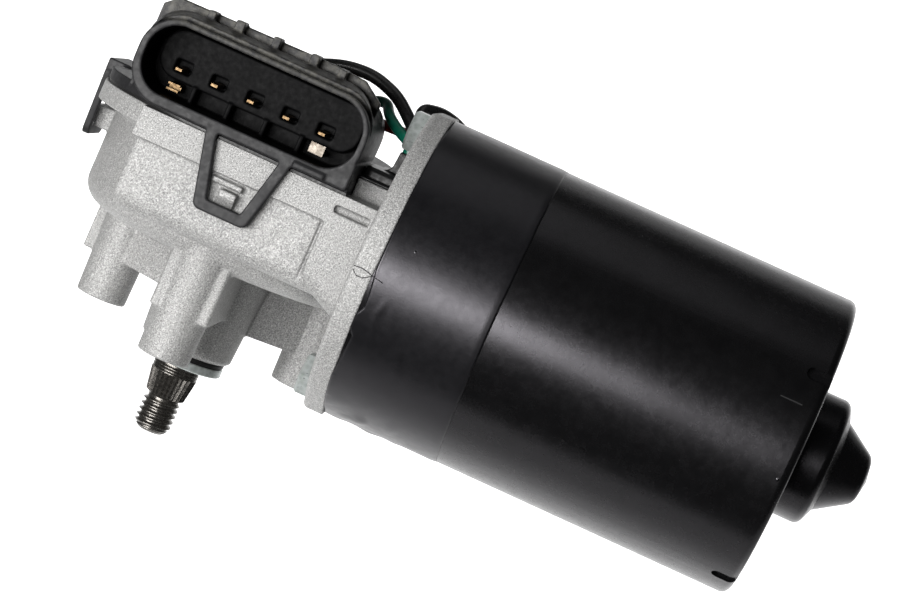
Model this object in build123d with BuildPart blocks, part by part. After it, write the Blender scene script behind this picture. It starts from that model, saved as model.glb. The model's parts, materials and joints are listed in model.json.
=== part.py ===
from build123d import *
import math
import os

os.makedirs("parts", exist_ok=True)

# ---------------------------------------------------------------------------
# Wiper motor. Origin: output shaft axis on the mounting plane (the ends of the
# three fixing bosses). +Z up into the gearbox, the output shaft points down
# (-Z), the electric motor runs along +X beside the gearbox. Millimetres.
# ---------------------------------------------------------------------------

# gear pair
CENTRE_DIST = 33.0        # worm axis to wheel axis
AXIS_H = 36.2             # motor axis above the mounting plane
MODULE = 1.0
WHEEL_TEETH = 56
WORM_PITCH_R = 5.0
WORM_TIP_R = 6.0
WORM_ROOT_R = 3.8
AXIAL_PITCH = math.pi * MODULE
LEAD_DEG = math.degrees(math.atan(AXIAL_PITCH / (2 * math.pi * WORM_PITCH_R)))
WHEEL_TIP_R = 29.0
WHEEL_ROOT_R = 26.75
WHEEL_FACE = 9.0

# gearbox casting
DRUM_R = 32.8
CHAMBER_R = 30.3
Z_DRUM = 20.7             # underside of the deep round part
Z_FLOOR = 24.2            # floor of the wheel chamber
Z_BLOCK = 25.7            # underside of the worm side
Z_BAND = 40.2             # lower edge of the rim band
Z_TOP = 46.2              # casting joint face
Z_SEAT = 50.0             # seat of the lead grommet
FRONT_Y = -46.0           # flat front wall
CORNER_C = (-6.0, -19.0)  # centre of the big front left corner
CORNER_R = 27.0
Z_LUG = 42.2              # lower edge of the corner rim above the worm end
X_WORM_END = -19.5        # left end wall of the worm side
BAND_STEP = 0.8

# fixing bosses and shaft boss
BOSS_PCR = 26.5
BOSS_ANGLES = (-90.0, 30.0, 150.0)
BOSS_R0 = 5.45
BOSS_R1 = 6.1
BOSS_HOLE_R = 2.6
BOSS_HOLE_L = 14.0
SHAFT_BOSS_R0 = 9.9
SHAFT_BOSS_R1 = 11.3
SHAFT_BOSS_Z = -0.5
BUSH_R = 7.0

# flange and can
X_FLANGE0 = 30.8
X_FLANGE1 = 35.2
FLANGE_R = 31.2
CAN_R = 31.1
CAN_WALL = 2.0
X_CAN_END = 121.1
STEP_R = 13.0
X_STEP = 127.9
X_NOSE0 = 129.4
X_NOSE1 = 137.0
BAND_X1 = 59.5
BAND_T = 0.3
BOLT_OFF = 26.2           # flange bolts above and below the motor axis

# output shaft
SHAFT_R = 5.0
CONE_Z0, CONE_Z1 = -6.3, -11.2
CONE_R1 = 4.3
THREAD_R = 3.95
THREAD_ROOT_R = 3.25
THREAD_PITCH = 1.25
TIP_Z = -19.4
RUN = 0.04                # radial running clearance

# gear cover and plug shroud
Z_GASKET = 46.7
Z_PLATE = 49.0
PLUG_X0, PLUG_X1 = -25.4, 22.4
PLUG_Z0, PLUG_Z1 = 47.1, 64.4
RIM_Y = -48.4
CAV_BACK_Y = -35.0
SHROUD_R = 7.4            # outer corners of the plug shroud
PIN_X = (-17.3, -9.7, -2.0, 5.6, 13.2)
PIN_Z = 54.95

# commutator and brush gear
X_COMM0, X_COMM1 = 42.0, 56.0
COMM_R = 11.5
BRUSH_X = 49.0
BRUSH_ANGLES = (90.0, -90.0, 30.0)   # common, low speed, high speed
CORE_X0, CORE_X1 = 64.0, 106.0
CORE_R = 21.3

MOTOR_O = Vector(0, -CENTRE_DIST, AXIS_H)
MOTOR_AXIS = Axis((0, -CENTRE_DIST, AXIS_H), (1, 0, 0))
MOTOR_PLANE = Plane(origin=(0, -CENTRE_DIST, AXIS_H), x_dir=(1, 0, 0), z_dir=(0, -1, 0))


def across(x):
    """Section plane across the motor axis at x: local x is +Y, local y is +Z."""
    return Plane(origin=(x, -CENTRE_DIST, AXIS_H), x_dir=(0, 1, 0), z_dir=(1, 0, 0))


def radial(x, deg, r=0.0):
    """Plane across a radius of the motor at angle deg from +Y; local x runs along +X."""
    a = math.radians(deg)
    d = Vector(0, math.cos(a), math.sin(a))
    return Plane(origin=(x, -CENTRE_DIST + r * d.Y, AXIS_H + r * d.Z), x_dir=(1, 0, 0), z_dir=(0, d.Y, d.Z))


def near(shapes, *points, tol=0.05):
    """Vertices of a sketch that lie at the given local points."""
    out = []
    for v in shapes:
        for p in points:
            if math.hypot(v.X - p[0], v.Y - p[1]) < tol:
                out.append(v)
    return out


# ---------------------------------------------------------------------------
# gearbox casting
# ---------------------------------------------------------------------------
with BuildPart() as drum_block:
    with BuildSketch(Plane.XY.offset(Z_DRUM)):
        Circle(DRUM_R)
    extrude(amount=Z_TOP - Z_DRUM)
    fillet(drum_block.faces().sort_by(Axis.Z)[0].edges(), 5.0)

with BuildPart() as front_block:
    with BuildSketch(Plane.XY.offset(Z_BLOCK)):
        with Locations(((X_FLANGE0 + X_WORM_END) / 2, (FRONT_Y - 10) / 2)):
            Rectangle(X_FLANGE0 - X_WORM_END, -10 - FRONT_Y)
    extrude(amount=Z_TOP - Z_BLOCK)
    fillet(front_block.edges().filter_by(Axis.Z).filter_by(lambda e: e.center().X < X_WORM_END + 1 and e.center().Y < -40), 1.6)
    low = front_block.faces().sort_by(Axis.Z)[0].edges()
    fillet([e for e in low if e.center().Y < -11 and e.center().X < X_FLANGE0 - 1], 3.6)

with BuildPart() as neck_block:
    with BuildSketch(Plane.XZ.offset(46.8)):
        with BuildLine():
            Polyline((20.9, 27.4), (30.9, 22.6), (30.9, 39.9), (20.9, 39.9), close=True)
        make_face()
    extrude(amount=-26.0)
    fillet(neck_block.edges().filter_by(lambda e: e.center().Y < -46.7 and e.center().Z < 30), 3.5)

# motor flange with bolt ears
with BuildPart() as flange_disc:
    with BuildSketch(across(X_FLANGE0)):
        Circle(FLANGE_R)
        with BuildLine():
            Polyline((-14, 27.9), (-7, 31.4), (7, 31.4), (14, 27.9), (14, -27.9), (7, -31.4),
                     (-7, -31.4), (-14, -27.9), close=True)
        make_face()
    extrude(amount=X_FLANGE1 - X_FLANGE0)
    fillet(flange_disc.faces().sort_by(Axis.X)[0].edges(), 1.1)

with BuildPart() as gear_housing:
    add(drum_block.part)
    add(front_block.part)
    add(neck_block.part)
    # rim band under the cover joint
    with BuildSketch(Plane.XY.offset(Z_BAND)):
        Circle(DRUM_R + BAND_STEP)
        with Locations(((X_FLANGE0 + X_WORM_END - BAND_STEP) / 2, (FRONT_Y - BAND_STEP - 10) / 2)):
            Rectangle(X_FLANGE0 - X_WORM_END + BAND_STEP, -10 - FRONT_Y + BAND_STEP)
    extrude(amount=Z_TOP - Z_BAND)
    # rim round the corner, above the worm end
    with BuildSketch(Plane.XY.offset(Z_LUG)):
        with Locations(CORNER_C):
            Circle(CORNER_R + BAND_STEP)
    extrude(amount=Z_TOP - Z_LUG)
    add(flange_disc.part)
    # spigot that centres the can
    with BuildSketch(across(X_FLANGE1)):
        Circle(CAN_R - CAN_WALL - 0.05)
        Circle(25.5, mode=Mode.SUBTRACT)
    extrude(amount=2.2)
    # shaft boss
    with BuildSketch(Plane.XY.offset(SHAFT_BOSS_Z)):
        Circle(SHAFT_BOSS_R0)
    with BuildSketch(Plane.XY.offset(Z_FLOOR - 1)):
        Circle(SHAFT_BOSS_R1)
    loft()
    chamfer(gear_housing.faces().sort_by(Axis.Z)[0].edges(), 0.7)
    # fixing bosses
    for ang in BOSS_ANGLES:
        bx = BOSS_PCR * math.cos(math.radians(ang))
        by = BOSS_PCR * math.sin(math.radians(ang))
        with BuildSketch(Plane.XY):
            with Locations((bx, by)):
                Circle(BOSS_R0)
        with BuildSketch(Plane.XY.offset(Z_BLOCK + 1)):
            with Locations((bx, by)):
                Circle(BOSS_R1)
        loft()
    # webs from the shaft boss to the fixing bosses
    with BuildSketch(Plane.XY.offset(9.4)):
        with Locations((0, -15.3)):
            RectangleRounded(12.7, 30.6, 0.7)
    extrude(amount=Z_BLOCK - 8.0)
    with BuildSketch(Plane.XY.offset(9.2)):
        with Locations(Location((BOSS_PCR / 2 * math.cos(math.radians(150)), BOSS_PCR / 2 * math.sin(math.radians(150))), 150)):
            Rectangle(BOSS_PCR, 7.0)
    extrude(amount=Z_DRUM - 7.2)
    # thin outer rib of the left boss
    with BuildSketch(Plane.XY.offset(8.8)):
        with Locations((-27.2, 12.9)):
            Rectangle(6.8, 2.8)
    extrude(amount=Z_DRUM - 7.0)
    # ledge under the drum
    with BuildSketch(Plane.XY.offset(19.6)):
        with Locations((-11.8, -15.5)):
            Rectangle(6.4, 7.0)
    extrude(amount=4.0)
    with BuildSketch(Plane.XY.offset(6.8)):
        with Locations(Location((BOSS_PCR / 2 * math.cos(math.radians(30)), BOSS_PCR / 2 * math.sin(math.radians(30))), 30)):
            Rectangle(BOSS_PCR, 7.0)
    extrude(amount=Z_DRUM - 4.8)
    # catches for the three snap loops: the front one is a small lug under a ledge
    with BuildSketch(Plane.YZ.offset(0.2)):
        with BuildLine():
            Polyline((-45.5, 34.6), (-46.9, 34.6), (-48.1, 36.4), (-48.1, 37.7), (-45.5, 37.7), close=True)
        make_face()
    extrude(amount=3.4)
    with Locations((0.9, -46.4, 38.9)):
        Box(6.2, 1.6, 1.0)
    with BuildSketch(Plane.XZ.offset(8.6)):
        with BuildLine():
            Polyline((-31.0, 35.0), (-34.9, 35.0), (-36.2, 38.0), (-36.2, 39.5), (-31.0, 39.5), close=True)
        make_face()
    extrude(amount=-6.0)
    with BuildSketch(Plane.YZ.offset(-8.0)):
        with BuildLine():
            Polyline((30.8, 34.8), (34.4, 34.8), (36.2, 37.9), (36.2, 39.4), (30.8, 39.4), close=True)
        make_face()
    extrude(amount=7.0)
    # raised seat for the lead grommet beside the flange
    with BuildSketch(Plane.XY.offset(Z_TOP - 1)):
        with Locations(((22.8 + X_FLANGE0 + 0.4) / 2, (-38.5 - 22.4) / 2)):
            Rectangle(X_FLANGE0 + 0.4 - 22.8, 16.1)
    extrude(amount=Z_SEAT - Z_TOP + 1)
    # wheel chamber
    with BuildSketch(Plane.XY.offset(Z_FLOOR)):
        Circle(CHAMBER_R)
    extrude(amount=Z_TOP - Z_FLOOR + 1, mode=Mode.SUBTRACT)
    # worm tunnel, thrust pocket and bearing seat
    with BuildSketch(MOTOR_PLANE):
        with BuildLine():
            Polyline((-17.6, 0), (-17.6, 4.2), (-15.9, 4.2), (-15.9, 7.2), (22.4, 7.2), (22.4, 8.0),
                     (34.0, 8.0), (34.0, 12.5), (36.0, 12.5), (36.0, 0), close=True)
        make_face()
    revolve(axis=MOTOR_AXIS, mode=Mode.SUBTRACT)
    # shaft bore
    with BuildSketch(Plane.XY.offset(SHAFT_BOSS_Z - 1)):
        Circle(BUSH_R)
    extrude(amount=Z_FLOOR + 4, mode=Mode.SUBTRACT)
    # threaded fixing holes
    for ang in BOSS_ANGLES:
        bx = BOSS_PCR * math.cos(math.radians(ang))
        by = BOSS_PCR * math.sin(math.radians(ang))
        with Locations((bx, by, 0)):
            Cylinder(BOSS_HOLE_R, BOSS_HOLE_L, align=(Align.CENTER, Align.CENTER, Align.MIN), mode=Mode.SUBTRACT)
            Cone(BOSS_HOLE_R + 0.5, BOSS_HOLE_R, 0.5, align=(Align.CENTER, Align.CENTER, Align.MIN), mode=Mode.SUBTRACT)
    # flange bolt holes
    with BuildSketch(across(X_FLANGE0 - 1)):
        with Locations((0, BOLT_OFF), (0, -BOLT_OFF)):
            Circle(2.5)
    extrude(amount=8, mode=Mode.SUBTRACT)
    # lead opening through the flange
    with BuildSketch(across(X_FLANGE0 - 0.3)):
        with Locations((4.5, 15.6)):
            RectangleRounded(9.0, 6.0, 1.5)
    extrude(amount=8, mode=Mode.SUBTRACT)
    # short ledge slot beside the flange and groove line in the front wall
    with Locations((25.4, FRONT_Y - BAND_STEP, AXIS_H + 7.1)):
        Box(7.4, 2.4, 1.5, mode=Mode.SUBTRACT)
    with Locations((20.5, FRONT_Y, 33.4)):
        Box(0.8, 0.9, 13.4, mode=Mode.SUBTRACT)
gear_housing.part.label = "gear_housing"
export_step(gear_housing.part, "parts/gear_housing.step")

# ---------------------------------------------------------------------------
# drawn steel can with stepped bearing dome
# ---------------------------------------------------------------------------
PLUG_ANG = 30.0
with BuildPart() as motor_can:
    with BuildSketch(MOTOR_PLANE) as can_out:
        with BuildLine():
            Polyline((X_FLANGE1, 0), (X_FLANGE1, CAN_R), (X_CAN_END, CAN_R), (X_CAN_END, STEP_R), (X_STEP, STEP_R),
                     (X_NOSE0, 9.3), (X_NOSE1 - 0.9, 4.9), (X_NOSE1, 0), close=True)
        make_face()
        fillet(near(can_out.vertices(), (X_CAN_END, CAN_R)), 1.6)
        fillet(near(can_out.vertices(), (X_CAN_END, STEP_R)), 1.2)
        fillet(near(can_out.vertices(), (X_STEP, STEP_R)), 1.6)
        fillet(near(can_out.vertices(), (X_NOSE1 - 0.9, 4.9)), 2.4)
    revolve(axis=MOTOR_AXIS)
    with BuildSketch(MOTOR_PLANE) as can_in:
        with BuildLine():
            Polyline((X_FLANGE1 - 1, 0), (X_FLANGE1 - 1, CAN_R - CAN_WALL), (X_CAN_END - 2.0, CAN_R - CAN_WALL),
                     (X_CAN_END - 2.0, 11.2), (X_STEP - 1.7, 11.2), (X_NOSE0 - 1.9, 7.4), (X_NOSE1 - 2.6, 3.4),
                     (X_NOSE1 - 2.2, 0), close=True)
        make_face()
        fillet(near(can_in.vertices(), (X_CAN_END - 2.0, CAN_R - CAN_WALL)), 1.2)
    revolve(axis=MOTOR_AXIS, mode=Mode.SUBTRACT)
    # four punched dents in the end corner
    for deg in (147.0, 57.0, -33.0, -123.0):
        with BuildSketch(radial(X_CAN_END - 1.6, deg, CAN_R + 0.25)):
            SlotOverall(7.0, 2.6, rotation=0)
        extrude(amount=-1.25, mode=Mode.SUBTRACT)
    # hole for the rubber plug of the short lead
    with BuildSketch(radial(46.0, PLUG_ANG, 27.0)):
        Circle(2.2)
    extrude(amount=6, mode=Mode.SUBTRACT)
motor_can.part.label = "motor_can"
export_step(motor_can.part, "parts/motor_can.step")

with BuildPart() as joint_seal_band:
    with BuildSketch(across(X_FLANGE1 + 0.1)):
        Circle(CAN_R + BAND_T)
        Circle(CAN_R, mode=Mode.SUBTRACT)
    extrude(amount=BAND_X1 - X_FLANGE1 - 0.1)
    with BuildSketch(radial(46.0, PLUG_ANG, 27.0)):
        Circle(2.2)
    extrude(amount=8, mode=Mode.SUBTRACT)
joint_seal_band.part.label = "joint_seal_band"
export_step(joint_seal_band.part, "parts/joint_seal_band.step")

# flange bolts: hexagon heads on the gearbox side, shanks into the pole bridge
with BuildPart() as flange_bolts:
    for s in (1, -1):
        zc = s * BOLT_OFF
        with BuildSketch(across(X_FLANGE0)) as hex_sk:
            with Locations((0, zc)):
                RegularPolygon(4.0, 6, major_radius=False)
        extrude(amount=-3.3)
        with BuildSketch(across(X_FLANGE0)):
            with Locations((0, zc)):
                Circle(2.5)
        extrude(amount=12.2)
    faces = flange_bolts.faces().filter_by(lambda f: abs(f.center().X - (X_FLANGE0 - 3.3)) < 0.01)
    chamfer(faces.edges(), 0.45)
flange_bolts.part.label = "flange_bolts"
export_step(flange_bolts.part, "parts/flange_bolts.step")

# steel lugs welded inside the can, tapped for the two bolts
with BuildPart() as can_anchor_lugs:
    for s in (1, -1):
        with BuildSketch(across(39.5)):
            Circle(CAN_R - CAN_WALL)
            with Locations((0, s * 25.9)):
                Rectangle(12.0, 6.8, mode=Mode.INTERSECT)
            with Locations((0, s * BOLT_OFF)):
                Circle(2.5, mode=Mode.SUBTRACT)
        extrude(amount=4.2)
can_anchor_lugs.part.label = "can_anchor_lugs"
export_step(can_anchor_lugs.part, "parts/can_anchor_lugs.step")

# ---------------------------------------------------------------------------
# worm wheel and output shaft
# ---------------------------------------------------------------------------
Z_W0 = AXIS_H - WHEEL_FACE / 2
Z_W1 = AXIS_H + WHEEL_FACE / 2
lead = math.radians(LEAD_DEG)
gap_plane = Plane(origin=(0, -WHEEL_TEETH * MODULE / 2, AXIS_H), x_dir=(math.cos(lead), 0, -math.sin(lead)),
                  z_dir=(math.sin(lead), 0, math.cos(lead)))
tanp = math.tan(math.radians(20))
GAP_PITCH = 1.76
with BuildPart() as tooth_gap:
    with BuildSketch(gap_plane):
        with BuildLine():
            Polyline((-GAP_PITCH / 2 - 1.3 * tanp, -1.3), (GAP_PITCH / 2 + 1.3 * tanp, -1.3),
                     (GAP_PITCH / 2 - 1.25 * tanp, 1.25), (-GAP_PITCH / 2 + 1.25 * tanp, 1.25), close=True)
        make_face()
    extrude(amount=WHEEL_FACE / 2 + 1, both=True)

HUB_R = 9.0
with BuildPart() as worm_wheel:
    with BuildSketch(Plane.XZ):
        with BuildLine():
            Polyline((HUB_R, 28.5), (13.0, 28.5), (13.0, 36.9), (22.0, 36.9), (22.0, Z_W0), (WHEEL_TIP_R, Z_W0),
                     (WHEEL_TIP_R, Z_W1), (HUB_R, Z_W1), close=True)
        make_face()
    revolve(axis=Axis.Z)
    with BuildSketch(Plane.XY.offset(Z_W0)):
        with PolarLocations(17.5, 8, start_angle=11):
            Rectangle(10.0, 1.8)
    extrude(amount=36.9 - Z_W0)
    with PolarLocations(0, WHEEL_TEETH):
        add(tooth_gap.part, mode=Mode.SUBTRACT)
worm_wheel.part.label = "worm_wheel"
export_step(worm_wheel.part, "parts/worm_wheel.step")

with BuildPart() as wheel_hub:
    with BuildSketch(Plane.XZ):
        with BuildLine():
            Polyline((SHAFT_R, 25.6), (HUB_R, 25.6), (HUB_R, Z_W1 + 0.8), (7.6, Z_W1 + 0.8), (7.6, 42.6), (SHAFT_R, 42.6), close=True)
        make_face()
    revolve(axis=Axis.Z)
wheel_hub.part.label = "wheel_hub"
export_step(wheel_hub.part, "parts/wheel_hub.step")

with BuildPart() as shaft_thread:
    with BuildLine() as th_path:
        Helix(THREAD_PITCH, 8.4, THREAD_ROOT_R - 0.12, center=(0, 0, -11.9), direction=(0, 0, -1))
    p0 = th_path.line @ 0
    with BuildSketch(Plane(origin=p0, x_dir=(p0.X, p0.Y, 0), z_dir=th_path.line % 0)):
        with BuildLine():
            Polyline((0, -0.55), (THREAD_R - THREAD_ROOT_R + 0.12, -0.09), (THREAD_R - THREAD_ROOT_R + 0.12, 0.09),
                     (0, 0.55), close=True)
        make_face()
    sweep(is_frenet=True)

with BuildPart() as thread_envelope:
    with BuildSketch(Plane.XZ):
        with BuildLine():
            Polyline((0, -12.0), (THREAD_ROOT_R + 0.1, -12.0), (THREAD_R + 0.05, -12.8), (THREAD_R + 0.05, TIP_Z + 1.5),
                     (THREAD_ROOT_R - 0.5, TIP_Z + 0.05), (0, TIP_Z + 0.05), close=True)
        make_face()
    revolve(axis=Axis.Z)

thread_ridge = shaft_thread.part & thread_envelope.part

cone_slope = math.atan((SHAFT_R - CONE_R1) / (CONE_Z0 - CONE_Z1))
with BuildPart() as flute_cutter:
    with BuildSketch(Plane(origin=(SHAFT_R + 0.12, 0, CONE_Z0 + 0.05), x_dir=(0, 1, 0),
                           z_dir=(-math.sin(cone_slope), 0, -math.cos(cone_slope)))):
        RegularPolygon(0.68, 4)
    extrude(amount=5.9)

with BuildPart() as output_shaft:
    with BuildSketch(Plane.XZ):
        with BuildLine():
            Polyline((0, 43.8), (4.4, 43.8), (SHAFT_R, 43.2), (SHAFT_R, -2.45), (4.5, -2.45), (4.5, -3.35), (SHAFT_R, -3.35),
                     (SHAFT_R, -4.5), (4.72, -4.72), (SHAFT_R, -4.94), (SHAFT_R, -5.1), (4.72, -5.32), (SHAFT_R, -5.54),
                     (SHAFT_R, -5.7), (4.72, -5.92), (SHAFT_R, -6.14), (SHAFT_R, CONE_Z0), (CONE_R1, CONE_Z1),
                     (THREAD_ROOT_R + 0.25, -11.6), (THREAD_ROOT_R, -11.9), (THREAD_ROOT_R, TIP_Z + 0.5),
                     (THREAD_ROOT_R - 0.6, TIP_Z), (0, TIP_Z), close=True)
        make_face()
    revolve(axis=Axis.Z)
    # rolled thread, run out at both ends
    add(thread_ridge)
    # flutes of the knurled cone
    with PolarLocations(0, 28):
        add(flute_cutter.part, mode=Mode.SUBTRACT)
    # puller centre in the tip
    with Locations((0, 0, TIP_Z)):
        Cone(1.1, 0.1, 1.2, align=(Align.CENTER, Align.CENTER, Align.MIN), mode=Mode.SUBTRACT)
output_shaft.part.label = "output_shaft"
export_step(output_shaft.part, "parts/output_shaft.step")


def ring(label, z0, z1, r_in, r_out, ch=0.0):
    """Plain ring on the output shaft axis."""
    with BuildPart() as r:
        with BuildSketch(Plane.XY.offset(z0)):
            Circle(r_out)
            Circle(r_in, mode=Mode.SUBTRACT)
        extrude(amount=z1 - z0)
        if ch:
            outer = [e for e in r.edges() if e.geom_type == GeomType.CIRCLE and abs(e.radius - r_out) < 1e-3]
            chamfer(outer, ch)
    r.part.label = label
    export_step(r.part, "parts/" + label + ".step")
    return r


lower_shaft_bush = ring("lower_shaft_bush", -0.3, 10.0, SHAFT_R + RUN, BUSH_R, 0.3)
upper_shaft_bush = ring("upper_shaft_bush", 13.5, 24.2, SHAFT_R + RUN, BUSH_R, 0.3)
hub_thrust_washer = ring("hub_thrust_washer", 24.3, 25.5, SHAFT_R + RUN, 9.0, 0.2)
shaft_seal_ring = ring("shaft_seal_ring", -1.62, SHAFT_BOSS_Z, SHAFT_R + RUN, 8.95, 0.3)

with BuildPart() as shaft_thrust_washer:
    with BuildSketch(Plane.XZ):
        with BuildLine():
            Polyline((SHAFT_R, -1.7), (9.05, -1.7), (9.05, -3.5), (7.2, -3.5), (7.2, -2.45), (SHAFT_R, -2.45), close=True)
        make_face()
    revolve(axis=Axis.Z)
    rim = [e for e in shaft_thrust_washer.edges() if e.geom_type == GeomType.CIRCLE and abs(e.radius - 9.05) < 1e-3]
    chamfer(rim, 0.2)
shaft_thrust_washer.part.label = "shaft_thrust_washer"
export_step(shaft_thrust_washer.part, "parts/shaft_thrust_washer.step")

with BuildPart() as shaft_circlip:
    with BuildSketch(Plane.XY.offset(-3.3)):
        Circle(6.6)
        Circle(4.5, mode=Mode.SUBTRACT)
        with Locations((5.6, 0)):
            Rectangle(4.0, 2.6, mode=Mode.SUBTRACT)
    extrude(amount=0.85)
shaft_circlip.part.label = "shaft_circlip"
export_step(shaft_circlip.part, "parts/shaft_circlip.step")

with BuildPart() as park_contact_disc:
    with BuildSketch(Plane.XY.offset(Z_W1)):
        Circle(24.0)
        Circle(12.0, mode=Mode.SUBTRACT)
        with BuildLine():
            Polyline((0, 0), (30, -5.2), (30, 5.2), close=True)
        make_face(mode=Mode.SUBTRACT)
        Circle(19.0)
        Circle(12.0, mode=Mode.SUBTRACT)
    extrude(amount=0.5)
park_contact_disc.part.label = "park_contact_disc"
export_step(park_contact_disc.part, "parts/park_contact_disc.step")

# ---------------------------------------------------------------------------
# armature
# ---------------------------------------------------------------------------
WORM_X0, WORM_X1 = -13.0, 16.0
worm_r = WORM_ROOT_R - 0.15
probe = Edge.make_helix(AXIAL_PITCH, 3.0, worm_r, MOTOR_O, (1, 0, 0))
pp = probe @ 0 - MOTOR_O
theta0 = math.atan2(pp.Z, pp.Y)
turns = 11
start_x = -AXIAL_PITCH * turns / 2
phase = (start_x - AXIAL_PITCH * theta0 / (2 * math.pi)) / AXIAL_PITCH
start_x -= (phase - round(phase)) * AXIAL_PITCH
half_root = 1.42 / 2 + (WORM_PITCH_R - worm_r) * tanp
half_tip = 1.42 / 2 - (WORM_TIP_R - WORM_PITCH_R) * tanp
with BuildPart() as worm_thread:
    with BuildLine() as w_path:
        Helix(AXIAL_PITCH, AXIAL_PITCH * turns, worm_r, center=(start_x, -CENTRE_DIST, AXIS_H), direction=(1, 0, 0))
    w0 = w_path.line @ 0
    with BuildSketch(Plane(origin=w0, x_dir=w0 - Vector(start_x, -CENTRE_DIST, AXIS_H), z_dir=w_path.line % 0)):
        with BuildLine():
            Polyline((0, -half_root), (WORM_TIP_R - worm_r, -half_tip), (WORM_TIP_R - worm_r, half_tip), (0, half_root), close=True)
        make_face()
    sweep(is_frenet=True)

with BuildPart() as worm_envelope:
    with BuildSketch(MOTOR_PLANE):
        with BuildLine():
            Polyline((WORM_X0, 0), (WORM_X0, 3.0), (WORM_X0 + 3.0, 6.1), (WORM_X1 - 3.0, 6.1), (WORM_X1, 3.0), (WORM_X1, 0), close=True)
        make_face()
    revolve(axis=MOTOR_AXIS)

worm_tooth = worm_thread.part & worm_envelope.part

with BuildPart() as armature_shaft:
    with BuildSketch(MOTOR_PLANE):
        with BuildLine():
            Polyline((-16.0, 0), (-16.0, 1.2), (-15.4, 3.0), (-15.0, 3.4), (-13.9, 3.4), (-13.4, WORM_ROOT_R), (17.4, WORM_ROOT_R), (19.4, 4.96),
                     (36.2, 4.96), (36.6, 4.0), (128.6, 4.0), (129.2, 3.6), (129.2, 1.0), (129.2, 0), close=True)
        make_face()
    revolve(axis=MOTOR_AXIS)
    add(worm_tooth)
armature_shaft.part.label = "armature_shaft"
export_step(armature_shaft.part, "parts/armature_shaft.step")


def turned(label, pts, cuts=None):
    """Ring turned about the motor axis from (x, r) points."""
    with BuildPart() as t:
        with BuildSketch(MOTOR_PLANE):
            with BuildLine():
                Polyline(*pts, close=True)
            make_face()
        revolve(axis=MOTOR_AXIS)
    t.part.label = label
    export_step(t.part, "parts/" + label + ".step")
    return t


worm_end_button = turned("worm_end_button", [(-17.6, 0), (-17.6, 4.2), (-16.1, 4.2), (-16.1, 0)])
front_bearing = turned("front_bearing", [(23.0, 4.96 + RUN), (23.0, 7.6), (23.4, 8.0), (33.6, 8.0), (34.0, 7.6), (34.0, 4.96 + RUN)])
rear_bearing = turned("rear_bearing", [(120.6, 4.0 + RUN), (120.6, 6.4), (122.6, 6.8), (122.6, 8.6), (123.4, 11.2), (126.2, 11.2), (127.4, 7.6), (127.4, 4.0 + RUN)])
rear_thrust_pad = turned("rear_thrust_pad", [(129.3, 0), (129.3, 3.0), (X_NOSE1 - 2.65, 3.0), (X_NOSE1 - 2.25, 0)])

# star clip that holds the rear bearing in the dome
with BuildPart() as rear_bearing_clip:
    with BuildSketch(across(119.1)):
        Circle(15.0)
        Circle(7.2, mode=Mode.SUBTRACT)
        with PolarLocations(9.5, 6):
            Rectangle(5.5, 1.6, mode=Mode.SUBTRACT)
    extrude(amount=-0.8)
    with BuildSketch(MOTOR_PLANE):
        with BuildLine():
            Polyline((118.4, 7.2), (118.4, 8.2), (122.6, 8.5), (122.6, 7.8), (120.0, 7.2), close=True)
        make_face()
    revolve(axis=MOTOR_AXIS)
rear_bearing_clip.part.label = "rear_bearing_clip"
export_step(rear_bearing_clip.part, "parts/rear_bearing_clip.step")

with BuildPart() as armature_core:
    with BuildSketch(across(CORE_X0)):
        Circle(CORE_R)
        Circle(4.0, mode=Mode.SUBTRACT)
        with PolarLocations(0, 12):
            Polygon((9.6, -1.2), (19.4, -3.2), (19.4, 3.2), (9.6, 1.2), align=None, mode=Mode.SUBTRACT)
        with PolarLocations(CORE_R - 1.2, 12):
            Rectangle(4.0, 2.4, mode=Mode.SUBTRACT)
    extrude(amount=CORE_X1 - CORE_X0)
armature_core.part.label = "armature_core"
export_step(armature_core.part, "parts/armature_core.step")

with BuildPart() as armature_windings:
    with BuildSketch(across(CORE_X0)):
        with PolarLocations(0, 12):
            Polygon((9.9, -1.0), (19.0, -2.9), (19.0, 2.9), (9.9, 1.0), align=None)
    extrude(amount=CORE_X1 - CORE_X0)
    for xa, xb in ((CORE_X0 - 5.6, CORE_X0 - 0.3), (CORE_X1 + 0.3, CORE_X1 + 5.6)):
        with BuildSketch(MOTOR_PLANE) as coil_end:
            with BuildLine():
                Polyline((xa, 8.0), (xa, 16.5), (xb, 19.0), (xb, 8.0), close=True)
            make_face()
            fillet(near(coil_end.vertices(), (xa, 8.0), (xa, 16.5)), 1.8)
        revolve(axis=MOTOR_AXIS)
    # bridge from the slot bars into both end bundles
    with BuildSketch(across(CORE_X0 - 0.4)):
        with PolarLocations(0, 12):
            Polygon((9.9, -1.0), (18.6, -2.8), (18.6, 2.8), (9.9, 1.0), align=None)
    extrude(amount=CORE_X1 - CORE_X0 + 0.8)
armature_windings.part.label = "armature_windings"
export_step(armature_windings.part, "parts/armature_windings.step")

with BuildPart() as commutator_segments:
    with BuildSketch(across(X_COMM0)):
        Circle(COMM_R)
        Circle(7.5, mode=Mode.SUBTRACT)
        with PolarLocations(9.5, 12, start_angle=15):
            Rectangle(6.0, 0.5, mode=Mode.SUBTRACT)
    extrude(amount=X_COMM1 - X_COMM0)
    with BuildSketch(across(X_COMM1 - 1.6)):
        with PolarLocations(12.0, 12, start_angle=0):
            Rectangle(2.0, 2.0)
    extrude(amount=1.6)
commutator_segments.part.label = "commutator_segments"
export_step(commutator_segments.part, "parts/commutator_segments.step")

commutator_hub = turned("commutator_hub", [(41.0, 4.0), (41.0, 6.6), (41.6, 7.5), (56.8, 7.5), (57.2, 6.6), (57.2, 4.0)])

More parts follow.
